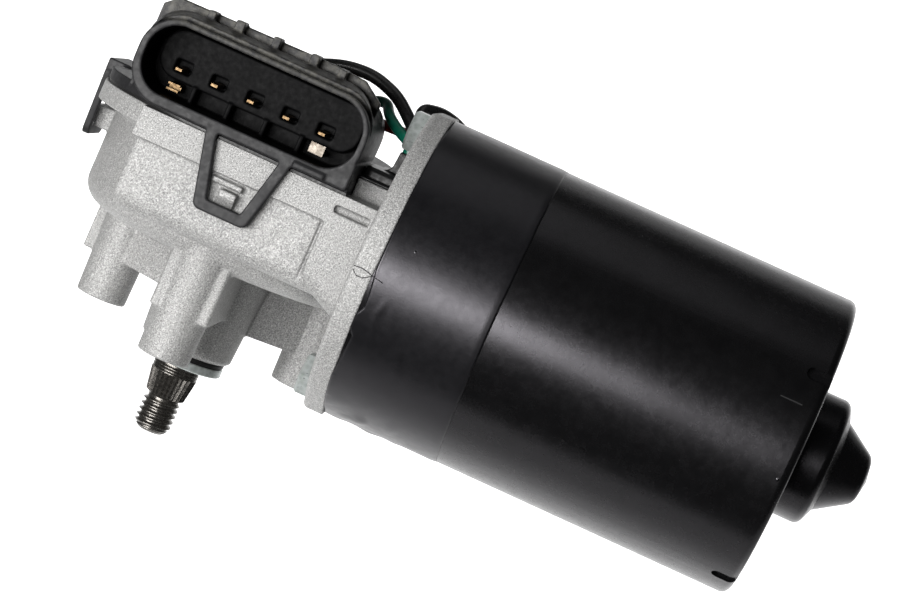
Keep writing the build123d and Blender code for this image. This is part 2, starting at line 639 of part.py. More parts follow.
# ---------------------------------------------------------------------------
# field system
# ---------------------------------------------------------------------------
MAG_X0, MAG_X1 = 61.5, 108.5
with BuildPart() as field_magnets:
    with BuildSketch(across(MAG_X0)):
        Circle(29.1)
        Circle(22.1, mode=Mode.SUBTRACT)
        for s in (1, -1):
            with BuildLine():
                Polyline((0, 0), (-16.5, s * 40), (16.5, s * 40), close=True)
            make_face(mode=Mode.SUBTRACT)
    extrude(amount=MAG_X1 - MAG_X0)
field_magnets.part.label = "field_magnets"
export_step(field_magnets.part, "parts/field_magnets.step")

with BuildPart() as magnet_clips:
    for s in (1, -1):
        with BuildSketch(across(MAG_X0 + 2)):
            Circle(29.1)
            Circle(28.2, mode=Mode.SUBTRACT)
            with BuildLine():
                Polyline((0, 0), (-11.4, s * 30), (11.4, s * 30), close=True)
            make_face(mode=Mode.INTERSECT)
            for t in (1, -1):
                with BuildLine():
                    Polyline((t * 10.4, s * 27.0), (t * 9.4, s * 23.0), (t * 8.6, s * 23.0), (t * 9.4, s * 27.2), close=True)
                make_face()
        extrude(amount=MAG_X1 - MAG_X0 - 4)
magnet_clips.part.label = "magnet_clips"
export_step(magnet_clips.part, "parts/magnet_clips.step")

# ---------------------------------------------------------------------------
# brush gear
# ---------------------------------------------------------------------------
PLATE_X0, PLATE_X1 = 37.4, 39.4
with BuildPart() as brush_plate:
    with BuildSketch(across(PLATE_X0)):
        Circle(29.0)
        Circle(13.2, mode=Mode.SUBTRACT)
        with Locations((4.5, 15.6)):
            RectangleRounded(9.0, 4.2, 1.5, mode=Mode.SUBTRACT)
        with Locations((0, BOLT_OFF), (0, -BOLT_OFF)):
            Circle(2.6, mode=Mode.SUBTRACT)
    extrude(amount=PLATE_X1 - PLATE_X0)
brush_plate.part.label = "brush_plate"
export_step(brush_plate.part, "parts/brush_plate.step")

BR_T, BR_X = 5.0, 8.0       # brush width round the commutator and along the axis
HOLD_X = BRUSH_X
with BuildPart() as brush_holders:
    for deg in BRUSH_ANGLES:
        with BuildSketch(radial(HOLD_X, deg, 13.4)):
            Rectangle(BR_X + 1.5, BR_T + 1.5)
            Rectangle(BR_X + 0.1, BR_T + 0.1, mode=Mode.SUBTRACT)
        extrude(amount=13.4)
        with BuildSketch(radial(HOLD_X, deg, 26.8)):
            Rectangle(BR_X + 1.5, BR_T + 1.5)
        extrude(amount=0.7)
        with BuildSketch(radial((PLATE_X1 + HOLD_X - BR_X / 2 - 0.75) / 2, deg, 14.4)):
            Rectangle(HOLD_X - BR_X / 2 - 0.75 - PLATE_X1, 3.0)
        extrude(amount=7.0)
brush_holders.part.label = "brush_holders"
export_step(brush_holders.part, "parts/brush_holders.step")

for name, deg in (("brush_common", BRUSH_ANGLES[0]), ("brush_low_speed", BRUSH_ANGLES[1]), ("brush_high_speed", BRUSH_ANGLES[2])):
    with BuildPart() as brush:
        with BuildSketch(radial(HOLD_X, deg, 10.0)):
            Rectangle(BR_X, BR_T)
        extrude(amount=10.0)
        chamfer(brush.faces().sort_by(Axis((HOLD_X, -CENTRE_DIST, AXIS_H), (0, math.cos(math.radians(deg)), math.sin(math.radians(deg)))))[-1].edges(), 0.4)
        with BuildSketch(across(HOLD_X - BR_X)):
            Circle(COMM_R + 0.05)
        extrude(amount=2 * BR_X, mode=Mode.SUBTRACT)
    brush.part.label = name
    export_step(brush.part, "parts/" + name + ".step")

SPRING_R0, SPRING_R1 = 20.35, 26.5
for name, deg in (("spring_common", BRUSH_ANGLES[0]), ("spring_low_speed", BRUSH_ANGLES[1]), ("spring_high_speed", BRUSH_ANGLES[2])):
    d = radial(HOLD_X, deg).z_dir
    o = radial(HOLD_X, deg, SPRING_R0).origin
    with BuildPart() as spring:
        with BuildLine() as s_path:
            Helix(1.15, SPRING_R1 - SPRING_R0, 1.9, center=o, direction=d)
        with BuildSketch(Plane(origin=s_path.line @ 0, z_dir=s_path.line % 0)):
            Circle(0.27)
        sweep(is_frenet=True)
    spring.part.label = name
    export_step(spring.part, "parts/" + name + ".step")

# two choke coils, interference capacitor and thermal cut-out on the plate
with BuildPart() as choke_coils:
    for deg in (-25.0, -150.0):
        with BuildSketch(across(PLATE_X1)):
            with Locations((20.5 * math.cos(math.radians(deg)), 20.5 * math.sin(math.radians(deg)))):
                Circle(2.0)
        extrude(amount=15.0)
        for k in range(9):
            with BuildSketch(across(PLATE_X1 + 1.2 + 1.4 * k)):
                with Locations((20.5 * math.cos(math.radians(deg)), 20.5 * math.sin(math.radians(deg)))):
                    Circle(3.2)
            extrude(amount=1.0)
choke_coils.part.label = "choke_coils"
export_step(choke_coils.part, "parts/choke_coils.step")

with BuildPart() as suppression_capacitor:
    with BuildSketch(Plane(origin=(PLATE_X1, -CENTRE_DIST - 20.0, AXIS_H + 9.0), x_dir=(0, 1, 0), z_dir=(1, 0, 0))):
        RectangleRounded(5.0, 9.0, 1.4, rotation=25)
    extrude(amount=11.0)
    fillet(suppression_capacitor.faces().sort_by(Axis.X)[-1].edges(), 1.0)
suppression_capacitor.part.label = "suppression_capacitor"
export_step(suppression_capacitor.part, "parts/suppression_capacitor.step")

with BuildPart() as thermal_cutout:
    with BuildSketch(Plane(origin=(PLATE_X1, -CENTRE_DIST + 13.5, AXIS_H - 17.5), x_dir=(0, 1, 0), z_dir=(1, 0, 0))):
        RectangleRounded(9.0, 5.5, 0.8, rotation=-38)
    extrude(amount=9.0)
thermal_cutout.part.label = "thermal_cutout"
export_step(thermal_cutout.part, "parts/thermal_cutout.step")

# ---------------------------------------------------------------------------
# gasket, cover with plug shroud, terminals
# ---------------------------------------------------------------------------
COVER_X1 = 22.6


def lid_outline(off):
    """Lid outline: the casting rim drawn in by off, cut short before the flange."""
    Circle(DRUM_R + BAND_STEP - off)
    with Locations(CORNER_C):
        Circle(CORNER_R + BAND_STEP - off)
    with Locations(((COVER_X1 + CORNER_C[0]) / 2, (FRONT_Y - BAND_STEP + off - 10) / 2)):
        Rectangle(COVER_X1 - CORNER_C[0], -10 - FRONT_Y + BAND_STEP - off)
    with Locations((COVER_X1 + 15, -22.2 - 25)):
        Rectangle(30, 50, mode=Mode.SUBTRACT)


with BuildPart() as cover_gasket:
    with BuildSketch(Plane.XY.offset(Z_TOP)):
        lid_outline(0.7)
        with Locations((X_FLANGE0 + 9.6, -33)):
            Rectangle(20, 62, mode=Mode.SUBTRACT)
        Circle(CHAMBER_R + 0.4, mode=Mode.SUBTRACT)
    extrude(amount=Z_GASKET - Z_TOP)
cover_gasket.part.label = "cover_gasket"
export_step(cover_gasket.part, "parts/cover_gasket.step")


def snap_loop(plane, outer, inner, depth):
    """Snap loop: a trapezoid U between an outer and an inner outline."""
    with BuildPart() as lp:
        with BuildSketch(plane) as sk:
            with BuildLine():
                Polyline(*outer, close=True)
            make_face()
            fillet(near(sk.vertices(), outer[2], outer[3]), 1.6)
            with BuildLine():
                Polyline(*inner, close=True)
            make_face(mode=Mode.SUBTRACT)
        extrude(amount=depth)
    return lp


LOOP_T = 1.45
front_loop = snap_loop(Plane(origin=(0, RIM_Y + LOOP_T, 0), x_dir=(1, 0, 0), z_dir=(0, -1, 0)),
                       ((-7.1, 49.0), (-6.9, 46.4), (-3.5, 32.3), (7.5, 32.3), (10.8, 46.4), (11.0, 49.0)),
                       ((-4.7, 50.0), (-4.5, 46.2), (-1.5, 34.7), (5.7, 34.7), (8.4, 46.2), (8.6, 50.0)), LOOP_T)
side_loop = snap_loop(Plane(origin=(-34.9, 0, 0), x_dir=(0, -1, 0), z_dir=(-1, 0, 0)),
                      ((-4.2, 49.6), (-4.0, 46.4), (-1.8, 33.0), (11.2, 33.0), (13.4, 46.4), (13.6, 49.6)),
                      ((-2.1, 50.6), (-1.9, 46.2), (0.2, 35.0), (9.2, 35.0), (11.3, 46.2), (11.5, 50.6)), LOOP_T)
rear_loop = snap_loop(Plane(origin=(0, 34.9, 0), x_dir=(-1, 0, 0), z_dir=(0, 1, 0)),
                      ((-4.4, 49.6), (-4.2, 46.4), (-1.8, 32.6), (10.8, 32.6), (13.2, 46.4), (13.4, 49.6)),
                      ((-2.2, 50.6), (-2.0, 46.2), (0.4, 34.8), (8.6, 34.8), (11.0, 46.2), (11.2, 50.6)), LOOP_T)

with BuildPart() as gear_cover:
    with BuildSketch(Plane.XY.offset(Z_GASKET)):
        lid_outline(0.4)
        with Locations((X_FLANGE0 + 9.6, -33)):
            Rectangle(20, 62, mode=Mode.SUBTRACT)
    extrude(amount=Z_PLATE - Z_GASKET)
    # raised drum above the wheel
    with BuildSketch(Plane.XY.offset(Z_PLATE)):
        with Locations((0, 5)):
            Circle(24.0)
    extrude(amount=2.2)
    # shroud body: rim, swept-out collar, back lip, rear body
    with BuildSketch(Plane.XZ.offset(-RIM_Y)):
        with Locations(((PLUG_X0 + PLUG_X1) / 2, (PLUG_Z0 + PLUG_Z1) / 2)):
            RectangleRounded(PLUG_X1 - PLUG_X0, PLUG_Z1 - PLUG_Z0, SHROUD_R)
        with Locations(((PLUG_X0 + PLUG_X1) / 2 + 8, PLUG_Z0 + 3)):
            RectangleRounded(PLUG_X1 - PLUG_X0 - 16, 6, 0.9)
    extrude(amount=RIM_Y + 22.0)
    with BuildSketch(Plane.XZ.offset(45.6)):
        with Locations(((PLUG_X0 + PLUG_X1) / 2, (PLUG_Z0 + 1 + PLUG_Z1 + 1.0) / 2)):
            RectangleRounded(PLUG_X1 - PLUG_X0, PLUG_Z1 - PLUG_Z0, SHROUD_R)
    with BuildSketch(Plane.XZ.offset(41.0)):
        with Locations(((PLUG_X0 + PLUG_X1) / 2 - 0.9, (PLUG_Z0 + 1 + PLUG_Z1 + 1.9) / 2)):
            RectangleRounded(PLUG_X1 - PLUG_X0 - 0.6, PLUG_Z1 - PLUG_Z0 + 0.9, SHROUD_R)
    loft()
    # back lip with a long bevelled left corner
    with BuildSketch(Plane.XZ.offset(38.4)) as lip:
        with BuildLine():
            Polyline((PLUG_X0 - 0.6, PLUG_Z0 + 1), (PLUG_X0 - 0.6, 65.4), (-23.4, 67.6), (9.6, 68.0), (16.4, 67.6), (20.8, 64.6),
                     (21.0, PLUG_Z0 + 1), close=True)
        make_face()
    extrude(amount=-1.8)
    # bridging ribs between collar and lip
    for rx in (-15.8, -10.0, -2.2, 6.0, 12.0):
        with Locations((rx, -39.6, 66.9)):
            Box(1.9 if rx in (-10.0, 6.0) else 1.6, 4.4, 3.0 if rx in (-10.0, -2.2, 6.0) else 2.2)
    # proud strip on the skirt, right of the front loop
    with Locations((14.4, RIM_Y - 0.2, 47.8)):
        Box(6.4, 0.6, 1.2)
    # cavity with a raised pin carrier and a lower gallery
    with BuildSketch(Plane.XZ.offset(-RIM_Y + 0.1)):
        with Locations((-1.4, 56.3)):
            RectangleRounded(45.0, 14.0, 6.2)
    extrude(amount=-(CAV_BACK_Y - RIM_Y + 0.1), mode=Mode.SUBTRACT)
    with BuildSketch(Plane.XZ.offset(-CAV_BACK_Y - 0.1)):
        with Locations((-1.3, 57.6)):
            RectangleRounded(42.6, 9.8, 4.0)
    extrude(amount=4.1)
    for gx in (-13.5, -5.9, 1.8, 9.4):
        with Locations((gx, -37.2, 51.1)):
            Box(0.9, 4.6, 3.4)
    # square sockets round the pins and passages through the back wall
    for px in PIN_X:
        with Locations((px, -39.2 + 1.4, PIN_Z + 0.5)):
            Box(3.4, 3.2, 2.6, mode=Mode.SUBTRACT)
        with Locations((px, -31.0, PIN_Z)):
            Box(1.6, 18.2, 0.8, mode=Mode.SUBTRACT)
    with Locations((PIN_X[0] - 0.1, -31.0, 51.2)):
        Box(2.4, 18.2, 1.5, mode=Mode.SUBTRACT)
    with Locations((PIN_X[4] + 0.2, -31.0, 51.2)):
        Box(3.0, 18.2, 0.8, mode=Mode.SUBTRACT)
    # hollow behind the back wall
    with BuildSketch(Plane.XZ.offset(32.0)):
        with Locations((-1.3, 55.6)):
            RectangleRounded(43.0, 12.4, 1.5)
    extrude(amount=-8.4, mode=Mode.SUBTRACT)
    for px, pr in ((PIN_X[2], 1.3), (PIN_X[3], 1.1), (PIN_X[4], 1.1)):
        with BuildSketch(Plane.XZ.offset(24.0)):
            with Locations((px, 53.4)):
                Circle(pr + 0.4)
        extrude(amount=-4.0, mode=Mode.SUBTRACT)
    # snap loops: front, left side, back
    add(front_loop.part)
    add(side_loop.part)
    with Locations((-33.9, -4.7, 48.4)):
        Box(4.9, 17.8, 2.4)
    add(rear_loop.part)
    with Locations((-4.5, 33.9, 48.4)):
        Box(17.8, 4.9, 2.4)
gear_cover.part.label = "gear_cover"
export_step(gear_cover.part, "parts/gear_cover.step")

with BuildPart() as connector_terminals:
    for px in PIN_X:
        with Locations((px, -35.6, PIN_Z)):
            Box(1.6, 15.2, 0.8)
        with Locations((px, -28.5, PIN_Z - 2.0)):
            Box(1.6, 1.0, 4.8)
    chamfer(connector_terminals.faces().sort_by(Axis.Y)[:5].edges(), 0.15)
connector_terminals.part.label = "connector_terminals"
export_step(connector_terminals.part, "parts/connector_terminals.step")

with BuildPart() as earth_contact_fork:
    with Locations((PIN_X[0] - 0.1, -35.0, 51.2)):
        Box(2.4, 11.0, 1.5)
    with Locations((PIN_X[0] - 0.1, -39.5, 51.2)):
        Box(3.0, 3.0, 0.7, mode=Mode.SUBTRACT)
earth_contact_fork.part.label = "earth_contact_fork"
export_step(earth_contact_fork.part, "parts/earth_contact_fork.step")

with BuildPart() as wide_terminal:
    with Locations((PIN_X[4] + 0.2, -35.6, 51.2)):
        Box(3.0, 13.0, 0.8)
    with Locations((PIN_X[4] + 0.2, -41.6, 52.2)):
        Box(3.0, 1.0, 1.4)
wide_terminal.part.label = "wide_terminal"
export_step(wide_terminal.part, "parts/wide_terminal.step")

# spring fingers under the lid that run on the park disc
with BuildPart() as park_contact_fingers:
    for ang, rr in ((100, 21.5), (125, 17.0), (150, 14.2)):
        pl = Plane(origin=(0, 0, 0), x_dir=(math.cos(math.radians(ang)), math.sin(math.radians(ang)), 0),
                   z_dir=(math.sin(math.radians(ang)), -math.cos(math.radians(ang)), 0))
        with BuildSketch(pl.offset(-1.0)):
            with BuildLine():
                Polyline((rr - 7, 46.7), (rr - 7, 46.2), (rr - 4.5, 46.2), (rr - 0.8, 41.6), (rr + 0.2, 41.25), (rr + 1.4, 41.9),
                         (rr + 1.0, 42.2), (rr + 0.1, 41.75), (rr - 0.5, 42.0), (rr - 4.2, 46.7), close=True)
            make_face()
        extrude(amount=2.0)
park_contact_fingers.part.label = "park_contact_fingers"
export_step(park_contact_fingers.part, "parts/park_contact_fingers.step")

# ---------------------------------------------------------------------------
# lead grommet, leads and rubber plug
# ---------------------------------------------------------------------------
LEAD_END = {"black": (29.0, -25.0, 57.4), "green": (28.7, -28.7, 57.4), "red": (28.8, -21.9, 57.4), "short": (29.0, -19.0, 57.4)}
with BuildPart() as lead_grommet:
    with BuildSketch(Plane.XY.offset(Z_SEAT)):
        with Locations((26.7, -29.5)):
            RectangleRounded(8.0, 14.2, 2.0)
    extrude(amount=2.8)
    fillet(lead_grommet.faces().sort_by(Axis.Z)[-1].edges(), 1.0)
    # neck that stands against the flange and takes the four leads
    with BuildSketch(Plane.XZ.offset(30.9)) as neck_sk:
        with BuildLine():
            Polyline((24.4, 51.4), (24.4, 52.5), (27.2, 53.2), (27.5, 57.4), (30.7, 57.4), (30.7, 51.4), close=True)
        make_face()
        fillet(near(neck_sk.vertices(), (27.2, 53.2)), 1.9)
    extrude(amount=-13.5)
    # spigot through the flange into the can
    with BuildSketch(across(30.5)):
        with Locations((4.5, 15.6)):
            RectangleRounded(9.0, 6.0, 1.5)
    extrude(amount=6.7)
lead_grommet.part.label = "lead_grommet"
export_step(lead_grommet.part, "parts/lead_grommet.step")


def route(points):
    """Radii for a run of leads: as large as the shorter neighbouring run allows."""
    radii = []
    for a, b, c in zip(points, points[1:], points[2:]):
        u = Vector(*b) - Vector(*a)
        v = Vector(*c) - Vector(*b)
        half = math.radians(u.get_angle(v)) / 2
        radii.append(0.45 * min(u.length, v.length) / math.tan(half))
    return radii


PLUG_D = (math.cos(math.radians(PLUG_ANG)), math.sin(math.radians(PLUG_ANG)))


def over_plug(r):
    """Point above the rubber plug at radius r from the motor axis."""
    return (46.0, -CENTRE_DIST + r * PLUG_D[0], AXIS_H + r * PLUG_D[1])


LEADS = {
    "lead_black": (1.3, [(PIN_X[2], -28.0, 53.4), (PIN_X[2], -20.2, 53.4), (-1.8, -16.2, 59.0), (1.6, -15.8, 65.0), (9.0, -17.2, 67.9), (15.4, -19.2, 68.5),
                         (21.6, -21.8, 66.7), (25.8, -24.0, 63.6), (29.0, -25.0, 60.6), LEAD_END["black"]]),
    "lead_green": (1.1, [(PIN_X[4], -28.0, 53.4), (PIN_X[4], -19.8, 53.4), (13.8, -17.0, 58.2), (16.8, -17.2, 63.8), (20.0, -19.0, 64.6),
                         (21.6, -22.4, 62.6), (24.6, -25.6, 60.9), (28.7, -28.7, 59.3), LEAD_END["green"]]),
    "lead_red": (1.1, [(PIN_X[3], -28.0, 53.4), (PIN_X[3], -20.2, 53.4), (7.4, -16.8, 56.0), (13.6, -14.8, 59.2), (19.4, -16.4, 60.0), (24.0, -18.8, 60.4),
                       (28.8, -21.9, 60.6), LEAD_END["red"]]),
    "lead_black_short": (1.25, [LEAD_END["short"], (29.0, -19.0, 60.4), (27.2, -17.2, 63.4), (26.6, -15.4, 66.2), (30.2, -12.0, 66.9), (34.4, -8.4, 65.8),
                                (41.0, -4.4, 60.6), over_plug(38.6), over_plug(33.6)]),
}
for name, (rad, pts) in LEADS.items():
    radii = route(pts)
    print(name, "radii", [round(r, 1) for r in radii])
    with BuildPart() as lead_part:
        with BuildLine() as lead_line:
            FilletPolyline(*pts, radius=radii)
        with BuildSketch(Plane(origin=lead_line.wire() @ 0, z_dir=lead_line.wire() % 0)):
            Circle(rad)
        sweep()
    print(name, "length", round(lead_line.wire().length, 2), "volume ratio",
          round(lead_part.part.volume / (math.pi * rad ** 2 * lead_line.wire().length), 4))
    lead_part.part.label = name
    export_step(lead_part.part, "parts/" + name + ".step")

with BuildPart() as lead_plug:
    with BuildSketch(radial(46.0, PLUG_ANG, 28.6)):
        Circle(2.2)
    extrude(amount=2.8)
    with BuildSketch(radial(46.0, PLUG_ANG, CAN_R + BAND_T)):
        Circle(3.4)
    extrude(amount=33.6 - CAN_R - BAND_T, taper=12)
lead_plug.part.label = "lead_plug"
export_step(lead_plug.part, "parts/lead_plug.step")
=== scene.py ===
import json
import math

import bmesh
import bpy
from mathutils import Matrix, Vector, noise


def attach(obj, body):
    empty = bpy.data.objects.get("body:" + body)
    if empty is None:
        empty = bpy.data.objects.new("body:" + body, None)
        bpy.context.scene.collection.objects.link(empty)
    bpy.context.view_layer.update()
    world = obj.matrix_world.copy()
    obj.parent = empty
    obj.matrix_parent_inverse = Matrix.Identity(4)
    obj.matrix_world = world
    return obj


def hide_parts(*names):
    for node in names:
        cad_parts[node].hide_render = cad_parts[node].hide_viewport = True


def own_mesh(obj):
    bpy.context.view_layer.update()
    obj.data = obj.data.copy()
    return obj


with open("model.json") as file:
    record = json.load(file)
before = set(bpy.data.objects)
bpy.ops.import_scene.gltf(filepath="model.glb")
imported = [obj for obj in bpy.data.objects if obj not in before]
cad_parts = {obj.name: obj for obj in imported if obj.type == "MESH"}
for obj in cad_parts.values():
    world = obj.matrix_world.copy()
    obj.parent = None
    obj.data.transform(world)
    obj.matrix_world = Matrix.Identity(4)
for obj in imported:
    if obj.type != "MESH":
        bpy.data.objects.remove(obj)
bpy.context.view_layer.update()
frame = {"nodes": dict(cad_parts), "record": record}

NODES = frame["nodes"]
scene = bpy.context.scene
scene.view_settings.view_transform = "Standard"
scene.view_settings.look = "None"
scene.view_settings.exposure = 0.0
scene.view_settings.gamma = 1.0

MM = 0.001
ROOT = "motor_body"
AXIS_Y, AXIS_Z = -33.0, 36.2


# ---------------------------------------------------------------------------
# camera: the settled viewing angle, rolled as in the picture
# ---------------------------------------------------------------------------
def make_camera():
    az, el, roll = math.radians(3.242), math.radians(5.592), math.radians(24.161)
    target = Vector((48.413, -33.0, 35.009)) * MM
    back = Vector((math.sin(az) * math.cos(el), -math.cos(az) * math.cos(el), math.sin(el)))
    right = Vector((math.cos(az), math.sin(az), 0.0))
    up = back.cross(right)
    x_axis = right * math.cos(roll) + up * math.sin(roll)
    y_axis = -right * math.sin(roll) + up * math.cos(roll)
    cam = bpy.data.cameras.new("camera")
    cam.lens = 2973.9 * 36.0 / 900.0
    cam.sensor_width = 36.0
    cam.sensor_fit = "HORIZONTAL"
    cam.clip_start, cam.clip_end = 0.02, 20.0
    ob = bpy.data.objects.new("camera", cam)
    scene.collection.objects.link(ob)
    place = target + back * 0.584
    rot = Matrix((x_axis, y_axis, back)).transposed().to_4x4()
    ob.matrix_world = Matrix.Translation(place) @ rot
    scene.camera = ob


make_camera()


# ---------------------------------------------------------------------------
# node material helpers; every texture is laid out in millimetres of the row
# ---------------------------------------------------------------------------
class Mat:
    """Small builder around one Principled material."""

    def __init__(self, name, rough=0.5, metal=0.0, spec=0.5, coat=0.0, coat_rough=0.1, ior=None):
        self.m = bpy.data.materials.new(name)
        self.m.use_nodes = True
        self.nt = self.m.node_tree
        self.nt.nodes.clear()
        out = self.nt.nodes.new("ShaderNodeOutputMaterial")
        self.b = self.nt.nodes.new("ShaderNodeBsdfPrincipled")
        self.link(self.b.outputs[0], out.inputs[0])
        self.b.inputs["Roughness"].default_value = rough
        self.b.inputs["Metallic"].default_value = metal
        self.b.inputs["Specular IOR Level"].default_value = spec
        self.b.inputs["Coat Weight"].default_value = coat
        self.b.inputs["Coat Roughness"].default_value = coat_rough
        if ior:
            self.b.inputs["IOR"].default_value = ior
        tc = self.nt.nodes.new("ShaderNodeTexCoord")
        sc = self.nt.nodes.new("ShaderNodeVectorMath")
        sc.operation = "SCALE"
        sc.inputs["Scale"].default_value = 1000.0
        self.link(tc.outputs["Object"], sc.inputs[0])
        self.mm = sc.outputs[0]
        self.normal = None

    def link(self, a, b):
        self.nt.links.new(a, b)

    def new(self, kind, **kw):
        n = self.nt.nodes.new(kind)
        for k, v in kw.items():
            setattr(n, k, v)
        return n

    def noise(self, per_mm, detail=2.0, rough=0.55, stretch=None, distortion=0.0):
        n = self.new("ShaderNodeTexNoise")
        n.inputs["Scale"].default_value = per_mm
        n.inputs["Detail"].default_value = detail
        n.inputs["Roughness"].default_value = rough
        n.inputs["Distortion"].default_value = distortion
        self.link(self.place(stretch) if stretch else self.mm, n.inputs["Vector"])
        return n.outputs["Fac"]

    def place(self, scale, loc=(0, 0, 0), rot=(0, 0, 0)):
        mp = self.new("ShaderNodeMapping")
        mp.inputs["Scale"].default_value = scale
        mp.inputs["Location"].default_value = loc
        mp.inputs["Rotation"].default_value = rot
        self.link(self.mm, mp.inputs["Vector"])
        return mp.outputs[0]

    def voronoi(self, per_mm, feature="F1", vec=None, random=1.0):
        v = self.new("ShaderNodeTexVoronoi", feature=feature)
        v.inputs["Scale"].default_value = per_mm
        v.inputs["Randomness"].default_value = random
        self.link(vec or self.mm, v.inputs["Vector"])
        return v.outputs["Distance"]

    def wave(self, per_mm, axis="X", distortion=0.0, profile="SIN", vec=None):
        w = self.new("ShaderNodeTexWave", bands_direction=axis, wave_profile=profile)
        w.inputs["Scale"].default_value = per_mm
        w.inputs["Distortion"].default_value = distortion
        w.inputs["Detail"].default_value = 2.0
        self.link(vec or self.mm, w.inputs["Vector"])
        return w.outputs["Fac"]

    def ramp(self, fac, stops, interp="LINEAR"):
        r = self.new("ShaderNodeValToRGB")
        r.color_ramp.interpolation = interp
        els = r.color_ramp.elements
        els[0].position, els[0].color = stops[0][0], tuple(stops[0][1]) + (1,)
        els[1].position, els[1].color = stops[-1][0], tuple(stops[-1][1]) + (1,)
        for p, c in stops[1:-1]:
            e = els.new(p)
            e.color = tuple(c) + (1,)
        self.link(fac, r.inputs[0])
        return r.outputs[0]

    def value(self, fac, a, b, lo=0.0, hi=1.0):
        r = self.new("ShaderNodeMapRange")
        r.inputs["From Min"].default_value = a
        r.inputs["From Max"].default_value = b
        r.inputs["To Min"].default_value = lo
        r.inputs["To Max"].default_value = hi
        self.link(fac, r.inputs["Value"])
        return r.outputs[0]

    def mix(self, fac, a, b, blend="MIX"):
        m = self.new("ShaderNodeMix", data_type="RGBA", blend_type=blend)
        for sock, v in ((m.inputs[0], fac), (m.inputs[6], a), (m.inputs[7], b)):
            if isinstance(v, (int, float)):
                sock.default_value = v
            elif isinstance(v, tuple):
                sock.default_value = v + (1,)
            else:
                self.link(v, sock)
        return m.outputs[2]

    def math(self, op, a, b=None):
        m = self.new("ShaderNodeMath", operation=op)
        for sock, v in ((m.inputs[0], a), (m.inputs[1], b)):
            if v is None:
                continue
            if isinstance(v, (int, float)):
                sock.default_value = v
            else:
                self.link(v, sock)
        return m.outputs[0]

    def box_mask(self, spans, edge):
        """1 inside the box given in millimetres, 0 outside, over a short edge."""
        out = None
        for sock, (lo, hi) in zip(xyz(self), spans):
            for v in (self.value(sock, lo - edge, lo + edge), self.value(sock, hi + edge, hi - edge)):
                out = v if out is None else self.math("MULTIPLY", out, v)
        return out

    def color(self, sock):
        self.link(sock, self.b.inputs["Base Color"])
        return self

    def roughness(self, sock):
        self.link(sock, self.b.inputs["Roughness"])
        return self

    def bump(self, height, dist_mm, strength=1.0):
        bp = self.new("ShaderNodeBump")
        bp.inputs["Strength"].default_value = strength
        bp.inputs["Distance"].default_value = dist_mm * MM
        self.link(height, bp.inputs["Height"])
        if self.normal is not None:
            self.link(self.normal, bp.inputs["Normal"])
        self.normal = bp.outputs[0]
        self.link(self.normal, self.b.inputs["Normal"])
        return self


def xyz(m):
    s = m.new("ShaderNodeSeparateXYZ")
    m.link(m.mm, s.inputs[0])
    return s.outputs


# --- blasted die casting
def cast_material():
    m = Mat("cast_aluminium", rough=0.47, metal=0.25, spec=0.45)
    grain = m.noise(3.4, 2.0, 0.65)
    fine = m.noise(6.0, 2.0, 0.6)
    patch = m.noise(0.09, 3.0, 0.6)
    soot = m.noise(0.30, 4.0, 0.62)
    c = m.ramp(grain, [(0.30, (0.18, 0.18, 0.177)), (0.46, (0.37, 0.37, 0.366)), (0.55, (0.475, 0.475, 0.47)), (0.70, (0.80, 0.80, 0.785))])
    c = m.mix(m.value(fine, 0.53, 0.66, 0.0, 0.42), c, (0.84, 0.84, 0.83), "MIX")
    c = m.mix(m.value(fine, 0.46, 0.34, 0.0, 0.62), c, (0.15, 0.15, 0.147), "MIX")
    c = m.mix(m.value(patch, 0.35, 0.75, 0.0, 0.22), c, (0.50, 0.50, 0.485), "MIX")
    c = m.mix(m.value(soot, 0.60, 0.78, 0.0, 0.28), c, (0.36, 0.355, 0.335), "MIX")
    # painted shade: ambient occlusion darkens the casting's colour toward near black in recesses, corners and under
    # overhangs
    ao = m.new("ShaderNodeAmbientOcclusion", samples=3)
    ao.inputs["Distance"].default_value = 14.0 * MM
    painted_recess_shade = m.value(ao.outputs["AO"], 0.88, 0.25, 0.0, 0.50)
    m.color(m.mix(painted_recess_shade, c, (0.055, 0.055, 0.054), "MIX"))
    m.roughness(m.value(fine, 0.3, 0.7, 0.34, 0.60))
    m.bump(m.noise(0.40, 2.0), 0.12, 0.40)
    m.bump(grain, 0.14, 1.0)
    m.bump(fine, 0.07, 0.9)
    return m.m


# --- satin black paint on the drawn can
def can_material():
    m = Mat("can_black_paint", rough=0.26, spec=0.50)
    c = m.ramp(m.noise(0.16, 3.0), [(0.35, (0.0022, 0.0022, 0.0023)), (0.7, (0.0036, 0.0036, 0.0038))])
    scratch = m.box_mask(((113.2, 117.6), (-64.0, -60.0), (47.12, 47.30)), 0.08)
    m.color(m.mix(m.math("MULTIPLY", scratch, 0.7), c, (0.055, 0.055, 0.056), "MIX"))
    m.roughness(m.value(m.noise(0.5, 4.0, 0.65), 0.3, 0.72, 0.23, 0.30))
    m.b.inputs["Specular Tint"].default_value = (0.96, 0.93, 1.0, 1.0)
    m.bump(m.noise(0.05, 2.0, 0.4), 0.35, 0.30)
    m.bump(m.noise(1.1, 2.0, 0.5), 0.012, 0.45)
    m.bump(m.noise(4.5, 2.0, 0.5), 0.006, 0.6)
    specks = m.voronoi(0.085)
    m.bump(m.value(specks, 0.0, 0.030, 1.0, 0.0), 0.14, 0.9)
    return m.m


